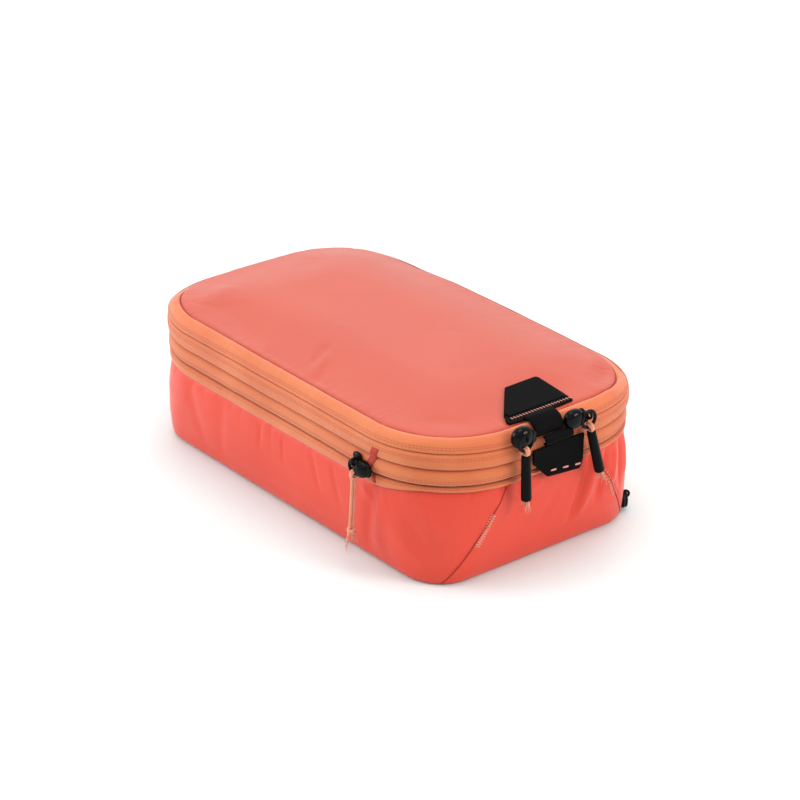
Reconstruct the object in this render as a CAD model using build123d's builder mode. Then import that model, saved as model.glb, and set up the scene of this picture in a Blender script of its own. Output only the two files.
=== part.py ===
from build123d import *
import math
import os

# A zipped fabric packing cube with an expansion band, a lid that tears open from its tab end,
# two pull tabs and four zip sliders. Millimetres, +Z up, +X towards the tab end.
# The origin is on the ground under the middle of the bottom panel.

# ---- driving dimensions ----
length = 280
width = 174
rim_radius = 58
base_length = 256
base_width = 150
base_radius = 24
seam_inset = 3
cloth = 1.2

wall_seam_z = 54
expansion_zip_z = 61
fold_z = 71
main_zip_z = 81
panel_seam_z = 88.6
dome_height = 5
divider_z = 20
rear_zip_z = 6.5
zip_gap = 1.0

# where the tub's four panels are sewn together: half widths of an end panel
seam_foot_y = 63
seam_head_y = 34
seam_head_z = 59

# tabs
tab_thickness = 1.2
tab_slope = math.radians(5.5)
lower_tab_x = 141.4

# sliders, rings and cords
slider_length = 12
slider_height = 8.4
slider_plate = 2.2
slider_gap = 0.5
slider_rise = 3
slider_corner = 3
neck_thickness = 0.7
neck_width = 3
back_size = 6
back_corner = 2
back_thickness = 1.5
eye_out = 5.6
eye_rise = 3
eye_width = 2
eye_radius = 2.2
eye_bore = 1.25
ring_radius = 3.6
ring_wire = 0.8
cord_radius = 0.85
loop_half = 1.9
loop_foot = -0.6
pair_half = 0.9
pair_head = -3.9
tube_radius = 2.6
tube_bore = 1.8
tube_start = 4.6
tube_length = 27
cord_tail = 7

half_length = length / 2
half_width = width / 2

os.makedirs("parts", exist_ok=True)


def keep(part, name):
    """Names a finished piece and writes it."""
    part.label = name
    export_step(part, f"parts/{name}.step")


# ---- shared forms ----
def tub(grow, low, high):
    """The fabric tub's outer form, grown outward by a distance, between two heights."""
    with BuildPart() as form:
        for z in (low, high):
            share = z / wall_seam_z
            tub_length = base_length + share * (length - 2 * seam_inset - base_length)
            tub_width = base_width + share * (width - 2 * seam_inset - base_width)
            radius = base_radius + share * (rim_radius - seam_inset - base_radius)
            with BuildSketch(Plane.XY.offset(z)):
                RectangleRounded(tub_length + 2 * grow, tub_width + 2 * grow, radius + grow)
        loft(ruled=True)
    return form.part


def rim_line():
    """The bag's outline in plan, starting in the middle of the tab end."""
    with BuildLine() as line:
        start = Line((half_length, 0), (half_length, half_width - rim_radius))
        turn = JernArc(start @ 1, start % 1, rim_radius, 90)
        back = Line(turn @ 1, (rim_radius - half_length, half_width))
        turn = JernArc(back @ 1, back % 1, rim_radius, 90)
        far = Line(turn @ 1, (-half_length, rim_radius - half_width))
        turn = JernArc(far @ 1, far % 1, rim_radius, 90)
        front = Line(turn @ 1, (half_length - rim_radius, -half_width))
        turn = JernArc(front @ 1, front % 1, rim_radius, 90)
        Line(turn @ 1, start @ 0)
    return line.wire()


def band(low, middle, high, thickness):
    """A strip of tape round the bag. Each point is (how far inside the outline, height)."""
    outside = [(half_length - inset, z) for inset, z in (low, middle, high)]
    inside = [(x - thickness, z) for x, z in outside]
    with BuildPart() as strip:
        with BuildSketch(Plane.XZ):
            with BuildLine():
                ThreePointArc(*outside)
                Line(outside[2], inside[2])
                ThreePointArc(*reversed(inside))
                Line(inside[0], outside[0])
            make_face()
        sweep(path=rim)
    return strip.part


def bead(inset, z, radius):
    """A round bead that runs round the bag."""
    with BuildPart() as ring:
        with BuildSketch(Plane.XZ):
            with Locations((half_length - inset, z)):
                Circle(radius)
        sweep(path=rim)
    return ring.part


def end_prism(foot, head, head_z, direction):
    """A prism along X under a line from (foot, 0) to (head, head_z), on both sides of the middle."""
    with BuildPart() as prism:
        with BuildSketch(Plane.YZ):
            with BuildLine():
                Polyline((-foot, 0), (foot, 0), (head, head_z), (-head, head_z), close=True)
            make_face()
        extrude(amount=direction * length)
    return prism.part


def seam_bar(start, end, bar_width, end_sign):
    """A slanting bar through an end of the bag; start and end are (y, z)."""
    run = Vector(end[0] - start[0], end[1] - start[1])
    lean = math.degrees(math.atan2(run.Y, run.X))
    with BuildPart() as bar:
        with BuildSketch(Plane.YZ):
            with Locations(Location(((start[0] + end[0]) / 2, (start[1] + end[1]) / 2), lean)):
                Rectangle(run.length, bar_width)
        extrude(amount=end_sign * length)
    return bar.part


rim = rim_line()
tub_outside = tub(0, cloth, wall_seam_z)
tub_inside = tub(-cloth, cloth, wall_seam_z)
tab_end = end_prism(seam_foot_y, seam_head_y, seam_head_z, 1)
far_end = end_prism(seam_foot_y, seam_head_y, seam_head_z, -1)

# ---- tub: bottom, four walls and the inner divider ----
with BuildPart() as bottom_panel:
    with BuildSketch():
        RectangleRounded(base_length, base_width, base_radius)
    extrude(amount=cloth)
keep(bottom_panel.part, "bottom_panel")

for name, region in (("tab_end_wall", tab_end), ("far_end_wall", far_end)):
    with BuildPart() as end_wall:
        add(tub_outside)
        add(tub_inside, mode=Mode.SUBTRACT)
        add(region, mode=Mode.INTERSECT)
    keep(end_wall.part, name)

with BuildPart() as front_wall:
    add(tub_outside)
    add(tub_inside, mode=Mode.SUBTRACT)
    add(tab_end, mode=Mode.SUBTRACT)
    add(far_end, mode=Mode.SUBTRACT)
    split(bisect_by=Plane.XZ, keep=Keep.TOP)
keep(front_wall.part, "front_wall")

# the lower compartment's zip runs along the back wall and round its corners
rear_share = rear_zip_z / wall_seam_z
rear_radius = base_radius + rear_share * (rim_radius - seam_inset - base_radius)
rear_corner = Vector(
    base_length / 2 + rear_share * (half_length - seam_inset - base_length / 2) - rear_radius,
    base_width / 2 + rear_share * (half_width - seam_inset - base_width / 2) - rear_radius,
    rear_zip_z,
)
rear_park = math.radians(56)
rear_slot_half = 118.6
rear_slot_depth = 35
with BuildPart() as back_wall:
    add(tub_outside)
    add(tub_inside, mode=Mode.SUBTRACT)
    add(tab_end, mode=Mode.SUBTRACT)
    add(far_end, mode=Mode.SUBTRACT)
    split(bisect_by=Plane.XZ, keep=Keep.BOTTOM)
    with BuildSketch(Plane.XZ.offset(-half_width)):
        with Locations((0, rear_zip_z)):
            Rectangle(2 * rear_slot_half, 2 * zip_gap)
    extrude(amount=rear_slot_depth, mode=Mode.SUBTRACT)
keep(back_wall.part, "back_wall")

with BuildPart() as divider_panel:
    add(tub(-cloth, divider_z, divider_z + cloth))
keep(divider_panel.part, "divider_panel")

# ---- seams and thread on the tub's ends ----
seam_proud = 0.6
seam_width = 1.6
seam_skin = tub(seam_proud, cloth, wall_seam_z)
tack_head = (39.6, 41)
tack_foot = (48.8, 22.3)
tack_width = 3.6
for end_name, end_sign in (("tab_end", 1), ("far_end", -1)):
    for side_name, side in (("front", -1), ("back", 1)):
        with BuildPart() as corner_seam:
            add(seam_skin)
            add(tub_outside, mode=Mode.SUBTRACT)
            foot = (side * seam_foot_y, 0)
            head = (side * seam_head_y, seam_head_z)
            add(seam_bar(foot, head, seam_width, end_sign), mode=Mode.INTERSECT)
        keep(corner_seam.part, f"corner_seam_{end_name}_{side_name}")

for side_name, side in (("front", -1), ("back", 1)):
    with BuildPart() as bar_tack:
        add(seam_skin)
        add(tub_outside, mode=Mode.SUBTRACT)
        foot = (side * tack_foot[0], tack_foot[1])
        head = (side * tack_head[0], tack_head[1])
        add(seam_bar(foot, head, tack_width, 1), mode=Mode.INTERSECT)
    keep(bar_tack.part, f"bar_tack_{side_name}")

# ---- zip of the lower compartment, low on the back wall ----
rear_tape_half = 119
rear_tape_height = 9
rear_tape_proud = 0.9
rear_coil_half = 112
rear_coil_height = 1.6
rear_coil_thickness = 1.15
skin_clearance = 0.05
with BuildPart() as rear_zip_tape:
    add(tub(rear_tape_proud, cloth, wall_seam_z))
    add(tub(skin_clearance, cloth, wall_seam_z), mode=Mode.SUBTRACT)
    with BuildSketch(Plane.XZ):
        with Locations((0, rear_zip_z)):
            Rectangle(2 * rear_tape_half, rear_tape_height)
            Rectangle(2 * rear_tape_half, zip_gap, mode=Mode.SUBTRACT)
    extrude(amount=-width, mode=Mode.INTERSECT)
keep(rear_zip_tape.part, "rear_zip_tape")

with BuildPart() as rear_zip_coil:
    coil_outside = -cloth - skin_clearance
    add(tub(coil_outside, cloth, wall_seam_z))
    add(tub(coil_outside - rear_coil_thickness, cloth, wall_seam_z), mode=Mode.SUBTRACT)
    with BuildSketch(Plane.XZ):
        with Locations((0, rear_zip_z)):
            Rectangle(2 * rear_coil_half, 2 * rear_coil_height + zip_gap)
            Rectangle(2 * rear_coil_half, zip_gap, mode=Mode.SUBTRACT)
    extrude(amount=-width, mode=Mode.INTERSECT)
keep(rear_zip_coil.part, "rear_zip_coil")

# ---- bands of zip tape; each pair of coils lies inside its tapes ----
coil_radius = 1
coil_inset = 3.4
coil_offset = 1.6
slit_half = zip_gap / 2
tape_profiles = {
    "expansion_lower_tape": ((2.2, wall_seam_z), (0.8, 57.2), (1.2, expansion_zip_z - slit_half)),
    "expansion_upper_tape": ((1.2, expansion_zip_z + slit_half), (0.2, 66), (2.2, fold_z)),
    "main_lower_tape": ((2.2, fold_z), (0, 76), (0.9, main_zip_z - slit_half)),
    "main_upper_tape": ((0.8, main_zip_z + slit_half), (1.9, 86), (6.4, panel_seam_z)),
}
for name, profile in tape_profiles.items():
    keep(band(*profile, cloth), name)

for name, side in (("expansion_lower_coil", -1), ("expansion_upper_coil", 1)):
    keep(bead(coil_inset, expansion_zip_z + side * coil_offset, coil_radius), name)

# the main zip stops at both sides of the hinge in the middle of the far end
hinge_half = 25
for name, side in (("main_lower_coil", -1), ("main_upper_coil", 1)):
    with BuildPart() as main_coil:
        add(bead(coil_inset, main_zip_z + side * coil_offset, coil_radius))
        with BuildSketch(Plane.XY.offset(fold_z)):
            with Locations((-half_length, 0)):
                Rectangle(2 * hinge_half, 2 * hinge_half)
        extrude(amount=panel_seam_z - fold_z, mode=Mode.SUBTRACT)
    keep(main_coil.part, name)

hinge_low_z = 73
hinge_height = 10
hinge_thickness = 0.5
hinge_inset = 2.6
with BuildPart() as lid_hinge_strip:
    with BuildSketch(Plane.XY.offset(hinge_low_z)):
        with Locations((hinge_inset - half_length, 0)):
            Rectangle(hinge_thickness, 2 * hinge_half - 2)
    extrude(amount=hinge_height)
keep(lid_hinge_strip.part, "lid_hinge_strip")

# folded fabric behind the expansion zip, which straightens when the bag is expanded
gusset_low_z = 55.5
gusset_high_z = 70.5
gusset_inset = 9
gusset_thickness = 1
gusset_middle = (gusset_inset + 0.2, (gusset_low_z + gusset_high_z) / 2)
gusset_foot = (gusset_inset, gusset_low_z)
gusset_head = (gusset_inset, gusset_high_z)
keep(band(gusset_foot, gusset_middle, gusset_head, gusset_thickness), "expansion_gusset")

# short strips that finish the two ends of the expansion zip
strip_x = 92.5
strip_width = 5
strip_thickness = 0.35
strip_back = 0.15
strip_margin = 0.7
for name, low, high in (
    ("zip_end_lower", wall_seam_z + strip_margin, expansion_zip_z - slit_half),
    ("zip_end_upper", expansion_zip_z + slit_half, fold_z - strip_margin),
):
    with BuildPart() as zip_end:
        with BuildSketch(Plane.XZ.offset(half_width - strip_back)):
            with Locations((strip_x, (low + high) / 2)):
                Rectangle(strip_width, high - low)
        extrude(amount=strip_thickness)
    keep(zip_end.part, name)

# ---- lid: top panel and its seam ----
panel_inset = 8.6
dome_steps = ((0, 0), (12, 0.08), (48, 1))
least_radius = 12
panel_seam_inset = 8.1
panel_seam_radius = 0.45
with BuildPart() as top_panel:
    for skin, mode in ((0, Mode.ADD), (-cloth, Mode.SUBTRACT)):
        for inset, rise in dome_steps:
            across = panel_inset + inset
            with BuildSketch(Plane.XY.offset(panel_seam_z + skin + rise * dome_height)):
                corner = max(rim_radius - across, least_radius)
                RectangleRounded(length - 2 * across, width - 2 * across, corner)
        loft(ruled=True, mode=mode)
keep(top_panel.part, "top_panel")
keep(bead(panel_seam_inset, panel_seam_z, panel_seam_radius), "panel_seam")

# ---- upper tab: sewn down along its stitch row, with a patch that lifts and a neck over the tape ----
upper_fold_x = 124
upper_fold_z = 89.9
upper_fold = Plane(
    (upper_fold_x, 0, upper_fold_z),
    x_dir=(math.cos(tab_slope), 0, -math.sin(tab_slope)),
    z_dir=(math.sin(tab_slope), 0, math.cos(tab_slope)),
)
fold_gap = 0.3
tab_corner = 2
upper_patch_outline = ((-fold_gap, 20), (-23.5, 19.7), (-23.2, -4), (-1, -24), (-fold_gap, -24.3))
upper_base_outline = (
    (fold_gap, 20),
    (6.5, 20),
    (8.2, -20),
    (7.6, -27),
    (5, -27.4),
    (fold_gap, -24.6),
)
with BuildPart() as upper_tab_patch:
    with BuildSketch(upper_fold):
        with BuildLine():
            Polyline(*upper_patch_outline, close=True)
        make_face()
        fillet(vertices().group_by(Axis.X)[0] + vertices().group_by(Axis.X)[1], tab_corner)
    extrude(amount=tab_thickness)
keep(upper_tab_patch.part, "upper_tab_patch")

with BuildPart() as upper_tab_base:
    with BuildSketch(upper_fold):
        with BuildLine():
            Polyline(*upper_base_outline, close=True)
        make_face()
    extrude(amount=tab_thickness)
keep(upper_tab_base.part, "upper_tab_base")

stitch_count = 24
stitch_pitch = 1.8
stitch_length = 1.9
stitch_width = 0.7
stitch_lean = 35
stitch_proud = 0.3
stitch_row = (4.4, -2)
with BuildPart() as upper_tab_stitches:
    with BuildSketch(upper_fold.offset(tab_thickness)):
        with Locations(stitch_row):
            with GridLocations(1, stitch_pitch, 1, stitch_count):
                SlotOverall(stitch_length, stitch_width, rotation=stitch_lean)
    extrude(amount=stitch_proud)
keep(upper_tab_stitches.part, "upper_tab_stitches")

neck_low_y = -13
neck_high_y = 5
neck_outside = ((132.6, 90.9), (138.9, 88.5), (141.6, 82.8))
neck_inside = ((140.4, 82.8), (138, 87.5), (132.6, 89.7))
with BuildPart() as upper_tab_neck:
    with BuildSketch(Plane.XZ.offset(-neck_high_y)):
        with BuildLine():
            ThreePointArc(*neck_outside)
            Line(neck_outside[2], neck_inside[0])
            ThreePointArc(*neck_inside)
            Line(neck_inside[2], neck_outside[0])
        make_face()
    extrude(amount=neck_high_y - neck_low_y)
keep(upper_tab_neck.part, "upper_tab_neck")

# ---- lower tab: a roll sewn to the band and a patch that hangs from it ----
roll_radius = 2.4
roll_x = 142.5
roll_z = 79.2
roll_high_y = 5.5
roll_length = 16.5
with BuildPart() as lower_tab_roll:
    with BuildSketch(Plane.XZ.offset(-roll_high_y)):
        with Locations((roll_x, roll_z)):
            Circle(roll_radius)
    extrude(amount=roll_length)
keep(lower_tab_roll.part, "lower_tab_roll")

lower_tab_top = 75.2
lower_tab_outline = (
    (-18.5, lower_tab_top),
    (-18.5, 67),
    (-8, 56.5),
    (16, 54.2),
    (18, 60),
    (18, lower_tab_top),
)
with BuildPart() as lower_tab_patch:
    with BuildSketch(Plane.YZ.offset(lower_tab_x)):
        with BuildLine():
            Polyline(*lower_tab_outline, close=True)
        make_face()
        fillet(vertices().group_by(Axis.Y)[0] + vertices().group_by(Axis.Y)[1], tab_corner)
    extrude(amount=tab_thickness)
keep(lower_tab_patch.part, "lower_tab_patch")

dash_length = 4.5
dash_width = 0.9
dash_lean = -5
dash_centres = ((-4, 59.3), (5, 58.6), (14, 57.9))
with BuildPart() as lower_tab_stitches:
    with BuildSketch(Plane.YZ.offset(lower_tab_x + tab_thickness)):
        with Locations(*dash_centres):
            SlotOverall(dash_length, dash_width, rotation=dash_lean)
    extrude(amount=stitch_proud)
keep(lower_tab_stitches.part, "lower_tab_stitches")


# ---- sliders ----
def make_slider(name, zip_plane, eye_along, reach, rise, depth):
    """A slider. The zip plane lies on the tape, its x along the zip and its z outward."""
    hang = zip_plane.from_local_coords((eye_along, rise + eye_rise, reach))
    eye_plane = Plane(hang, x_dir=zip_plane.z_dir, z_dir=zip_plane.x_dir)
    eye_foot = reach - slider_gap - slider_plate / 2
    with BuildPart() as slider:
        with BuildSketch(zip_plane.offset(slider_gap)):
            with Locations((0, rise)):
                RectangleRounded(slider_length, slider_height, slider_corner)
        extrude(amount=slider_plate)
        with BuildSketch(zip_plane.offset(-depth)):
            Rectangle(neck_width, neck_thickness)
        extrude(amount=depth + slider_gap + slider_plate / 2)
        with BuildSketch(zip_plane.offset(-depth)):
            RectangleRounded(back_size, back_size, back_corner)
        extrude(amount=-back_thickness)
        with BuildSketch(eye_plane):
            Circle(eye_radius)
            with Locations((-eye_foot / 2, 0)):
                Rectangle(eye_foot, 2 * eye_radius)
            Circle(eye_bore, mode=Mode.SUBTRACT)
        extrude(amount=eye_width / 2, both=True)
    keep(slider.part, f"{name}_slider")
    return hang


def make_ring(name, zip_plane, hang):
    """The ring that hangs in the slider's eye."""
    with BuildPart(Plane(hang, x_dir=zip_plane.x_dir, z_dir=zip_plane.z_dir)) as ring:
        with Locations((0, -ring_radius)):
            Torus(ring_radius, ring_wire)
    keep(ring.part, f"{name}_ring")


def make_pull(name, zip_plane, hang, lean, held_from, held_length):
    """The cord looped on the ring, with the tube or knot that holds its two strands together."""
    lean_angle = math.radians(lean)
    down = zip_plane.x_dir * math.sin(lean_angle) - zip_plane.y_dir * math.cos(lean_angle)
    wire = hang - zip_plane.y_dir * ring_radius + down * ring_radius
    pull = Plane(wire, x_dir=zip_plane.z_dir, z_dir=zip_plane.z_dir.cross(down * -1))
    end = -held_from - held_length - cord_tail
    with BuildPart() as cord:
        with BuildLine(pull) as route:
            corners = [(-pair_half, end), (-pair_half, pair_head)]
            corners += [(-loop_half, loop_foot), (-loop_half, loop_half)]
            corners += [(-x, y) for x, y in reversed(corners)]
            strand = FilletPolyline(*corners, radius=cord_bends)
        with BuildSketch(Plane(strand @ 0, z_dir=strand % 0)):
            Circle(cord_radius)
        sweep(path=route.wires()[0])
    keep(cord.part, f"{name}_cord")
    with BuildPart() as holder:
        with BuildSketch(Plane(wire + down * held_from, z_dir=down)):
            Circle(tube_radius)
            Circle(tube_bore, mode=Mode.SUBTRACT)
        extrude(amount=held_length)
    keep(holder.part, f"{name}_holder")


cord_bends = [4, 4, 1.7, 1.7, 4, 4]
tape_face = 0.2
coil_depth = 5.6
right_start = tube_start + 1.2
knot_start = 34
knot_length = 4
left_zip = Plane((half_length - tape_face, -23, main_zip_z), x_dir=(0, 1, 0), z_dir=(1, 0, 0))
right_zip = Plane((half_length - tape_face, 13, main_zip_z), x_dir=(0, 1, 0), z_dir=(1, 0, 0))
expansion_zip = Plane((85, tape_face - half_width, expansion_zip_z), x_dir=(1, 0, 0), z_dir=(0, -1, 0))

hang = make_slider("left", left_zip, -4.5, eye_out, slider_rise, coil_depth)
make_ring("left", left_zip, hang)
make_pull("left", left_zip, hang, 3, tube_start, tube_length)

hang = make_slider("right", right_zip, 5.5, eye_out, slider_rise, coil_depth)
make_ring("right", right_zip, hang)
make_pull("right", right_zip, hang, 14, right_start, tube_length)

hang = make_slider("expansion", expansion_zip, -5.5, eye_out, slider_rise, coil_depth)
make_ring("expansion", expansion_zip, hang)
make_pull("expansion", expansion_zip, hang, -3, knot_start, knot_length)

# the rear slider is parked on the corner next to the tab end
rear_reach = 4.2
rear_stand = 1.6
rear_depth = 4.8
rear_out = Vector(math.cos(rear_park), math.sin(rear_park), 0)
rear_along = Vector(-math.sin(rear_park), math.cos(rear_park), 0)
rear_place = rear_corner + rear_out * (rear_radius + rear_stand)
rear_zip = Plane(rear_place, x_dir=rear_along, z_dir=rear_out)
hang = make_slider("rear", rear_zip, 0, rear_reach, 0, rear_depth)
make_ring("rear", rear_zip, hang)
print("cord bend radii, mm:", cord_bends)
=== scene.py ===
import math

import bpy
import numpy as np
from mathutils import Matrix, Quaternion, Vector
from mathutils.bvhtree import BVHTree


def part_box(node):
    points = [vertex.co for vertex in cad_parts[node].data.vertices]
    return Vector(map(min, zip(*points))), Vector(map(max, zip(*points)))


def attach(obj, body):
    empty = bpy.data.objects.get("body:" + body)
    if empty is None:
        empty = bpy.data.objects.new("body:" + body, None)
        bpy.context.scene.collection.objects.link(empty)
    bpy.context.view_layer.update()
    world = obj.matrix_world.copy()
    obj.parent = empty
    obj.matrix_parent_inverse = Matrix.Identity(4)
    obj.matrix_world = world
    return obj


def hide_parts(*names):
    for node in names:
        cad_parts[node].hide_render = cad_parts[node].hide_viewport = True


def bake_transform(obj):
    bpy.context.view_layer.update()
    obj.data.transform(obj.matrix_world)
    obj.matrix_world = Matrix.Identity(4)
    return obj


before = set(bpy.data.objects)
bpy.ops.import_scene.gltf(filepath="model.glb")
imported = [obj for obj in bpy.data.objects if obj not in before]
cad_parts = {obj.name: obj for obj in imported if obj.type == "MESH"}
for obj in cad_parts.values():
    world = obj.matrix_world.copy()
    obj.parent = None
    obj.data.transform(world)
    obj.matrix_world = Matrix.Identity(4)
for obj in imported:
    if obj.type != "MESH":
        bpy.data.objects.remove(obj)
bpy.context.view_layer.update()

# Everything is in metres, in the part's own frame: +X towards the end with the tabs, +Z up,
# and -Y towards the long side with the expansion slider.
MM = 0.001

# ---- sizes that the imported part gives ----
half_length, half_width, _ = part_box("main_lower_tape")[1]
base_half_length, base_half_width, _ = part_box("bottom_panel")[1]
wall_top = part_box("front_wall")[1].z
expansion_zip_z = (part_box("expansion_lower_tape")[1].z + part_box("expansion_upper_tape")[0].z) / 2
fold_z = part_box("main_lower_tape")[0].z
main_zip_z = (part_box("main_lower_tape")[1].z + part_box("main_upper_tape")[0].z) / 2
rear_zip_z = sum(corner.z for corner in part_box("rear_zip_tape")) / 2
panel_seam_z = sum(corner.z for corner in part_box("panel_seam")) / 2
panel_top_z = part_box("top_panel")[1].z
divider_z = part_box("divider_panel")[1].z

# ---- sizes that the part's boxes don't give ----
rim_radius = 58 * MM
base_radius = 24 * MM
seam_inset = 3 * MM
panel_inset = 7.9 * MM
cloth_thickness = 0.5 * MM
tape_thickness = 0.45 * MM
tooth_pitch = 1.4 * MM
stitch_pitch, stitch_length, stitch_radius = 2.2 * MM, 1.5 * MM, 0.2 * MM
column_count = 900


# ======== Camera, light and floor ========
def make_camera():
    """A long lens a little above the bag, looking at its corner."""
    azimuth, elevation, roll = (math.radians(angle) for angle in (50.06, 26.10, 0.93))
    distance = 1.7464
    target = Vector((0.01786, -0.00913, 0.05501))
    level = math.cos(elevation)
    back = Vector((math.sin(azimuth) * level, -math.cos(azimuth) * level, math.sin(elevation)))
    camera = bpy.data.objects.new("camera", bpy.data.cameras.new("camera"))
    bpy.context.scene.collection.objects.link(camera)
    camera.data.sensor_width = 36
    camera.data.lens = 137.4
    camera.data.clip_start = 0.05
    camera.location = target + back * distance
    camera.rotation_mode = "QUATERNION"
    camera.rotation_quaternion = back.to_track_quat("Z", "Y") @ Quaternion((0, 0, 1), roll)
    bpy.context.scene.camera = camera


def make_light(name, place, size, power, colour=(1, 1, 1)):
    """A soft square light that looks at the bag."""
    bag_middle = Vector((0, 0, 0.05))
    lamp = bpy.data.objects.new(name, bpy.data.lights.new(name, "AREA"))
    bpy.context.scene.collection.objects.link(lamp)
    lamp.data.size = size
    lamp.data.energy = power
    lamp.data.color = colour
    lamp.location = place
    lamp.rotation_mode = "QUATERNION"
    lamp.rotation_quaternion = (Vector(place) - bag_middle).to_track_quat("Z", "Y")


def make_studio():
    """A pale floor, a sky that is brighter at the far end, four soft lights and a small one for glints."""
    bright_side, dimmest, brightest = (-0.75, 0.05, 0.66), 0.45, 1.25
    world = bpy.data.worlds.new("studio")
    world.use_nodes = True
    tree = world.node_tree
    place = tree.nodes.new("ShaderNodeTexCoord")
    toward = tree.nodes.new("ShaderNodeVectorMath")
    toward.operation = "DOT_PRODUCT"
    link(tree, place, "Generated", toward, 0)
    toward.inputs[1].default_value = bright_side
    strength = add_node(tree, "ShaderNodeMapRange", From_Min=-1, To_Min=dimmest, To_Max=brightest)
    link(tree, toward, "Value", strength, "Value")
    background = tree.nodes["Background"]
    background.inputs["Color"].default_value = (1, 1, 1, 1)
    link(tree, strength, "Result", background, "Strength")
    bpy.context.scene.world = world
    bpy.context.scene.view_settings.view_transform = "Standard"
    make_light("top", (0.0, 0.0, 1.7), 0.9, 9)
    make_light("back", (-1.15, 0.97, 0.95), 1.0, 1.6)
    make_light("front", (-1.2, -1.3, 0.6), 0.9, 16.5)
    make_light("end", (1.35, 0.75, 0.75), 0.6, 13, (1, 0.78, 0.72))
    make_light("glint", (1.0, -0.75, 1.35), 0.07, 2.2)
    floor_size = 14
    bpy.ops.mesh.primitive_plane_add(size=floor_size, location=(0, 0, 0))
    floor = bpy.context.object
    floor.name = "floor"
    paper = bpy.data.materials.new("paper")
    paper.use_nodes = True
    shader = paper.node_tree.nodes["Principled BSDF"]
    shader.inputs["Base Color"].default_value = (0.71, 0.79, 0.79, 1)
    shader.inputs["Roughness"].default_value = 0.9
    shader.inputs["Specular IOR Level"].default_value = 0.0
    floor.data.materials.append(paper)


# ======== Materials ========
def link(tree, source, output, target, entry):
    tree.links.new(source.outputs[output], target.inputs[entry])


def add_node(tree, kind, **values):
    """A shader node with its inputs set by name."""
    made = tree.nodes.new(kind)
    for name, value in values.items():
        made.inputs[name.replace("_", " ")].default_value = value
    return made


def add_bands(tree, coordinates, pitch, direction):
    """Even ridges with a pitch in metres, across or along the cloth."""
    waves = add_node(tree, "ShaderNodeTexWave", Scale=math.pi / (10 * pitch))
    waves.wave_type = "BANDS"
    waves.bands_direction = direction
    tree.links.new(coordinates, waves.inputs["Vector"])
    return waves.outputs["Color"]


def add_mix(tree, factor, first, second):
    """A colour mix node; the factor is a number or an output, and so is each colour."""
    mix = tree.nodes.new("ShaderNodeMix")
    mix.data_type = "RGBA"
    if isinstance(factor, float):
        mix.inputs["Factor"].default_value = factor
    else:
        tree.links.new(factor, mix.inputs["Factor"])
    for entry, value in (("A", first), ("B", second)):
        socket = [s for s in mix.inputs if s.name == entry and s.type == "RGBA"][0]
        if isinstance(value, tuple):
            socket.default_value = (*value, 1)
        else:
            tree.links.new(value, socket)
    return [s for s in mix.outputs if s.type == "RGBA"][0]


# Each pattern's two sets of ridges, with their pitch in mm and their direction, what they follow
# and how much painted shade darkens their grooves.
weaves = {
    "plain": ((0.42, "X"), (0.42, "Y"), "UV", 0.14),
    "twill": ((0.75, "DIAGONAL"), (0.45, "Y"), "UV", 0.16),
    "braid": ((0.9, "DIAGONAL"), (0.7, "Z"), "Object", 0.34),
}


def make_material(name, dark, light, rough, blotch=22, grain=1400, bump=0.25, reach=0.2 * MM, pattern=None,
                  **shader_values):
    """A surface whose colour wanders between two shades, with fine grain and, for cloth, a weave that paints
    shade in its grooves and light on its ridges.
    """
    material = bpy.data.materials.new(name)
    material.use_nodes = True
    tree = material.node_tree
    shader = tree.nodes["Principled BSDF"]
    shader.inputs["Roughness"].default_value = rough
    for entry, value in shader_values.items():
        shader.inputs[entry.replace("_", " ")].default_value = value
    place = tree.nodes.new("ShaderNodeTexCoord")
    wander = add_node(tree, "ShaderNodeTexNoise", Scale=blotch, Detail=4.0)
    link(tree, place, "Object", wander, "Vector")
    fine = add_node(tree, "ShaderNodeTexNoise", Scale=grain, Detail=2.0)
    link(tree, place, "Object", fine, "Vector")
    colour = add_mix(tree, wander.outputs["Fac"], dark, light)
    height = fine.outputs["Fac"]
    if pattern:
        *ridge_sets, follows, strength = weaves[pattern]
        coordinates = place.outputs[follows]
        warp, weft = (add_bands(tree, coordinates, pitch * MM, way) for pitch, way in ridge_sets)
        weave = add_mix(tree, 0.5, warp, weft)
        # Painted shade and light: the colour darkens in the weave's grooves and lightens on its ridges.
        shade = add_node(tree, "ShaderNodeMapRange", To_Min=1 - strength, To_Max=1 + strength / 3)
        tree.links.new(weave, shade.inputs["Value"])
        shaded = tree.nodes.new("ShaderNodeVectorMath")
        shaded.operation = "SCALE"
        tree.links.new(colour, shaded.inputs[0])
        link(tree, shade, "Result", shaded, "Scale")
        colour = shaded.outputs["Vector"]
        height = add_mix(tree, 0.3, weave, fine.outputs["Color"])
    tree.links.new(colour, shader.inputs["Base Color"])
    relief = add_node(tree, "ShaderNodeBump", Strength=bump, Distance=reach)
    tree.links.new(height, relief.inputs["Height"])
    link(tree, relief, "Normal", shader, "Normal")
    return material


coral = make_material("coral_nylon", (0.64, 0.046, 0.022), (0.74, 0.064, 0.032), 0.40, pattern="plain",
                      Sheen_Weight=0.13, Sheen_Roughness=0.3, Specular_IOR_Level=0.36)
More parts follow.
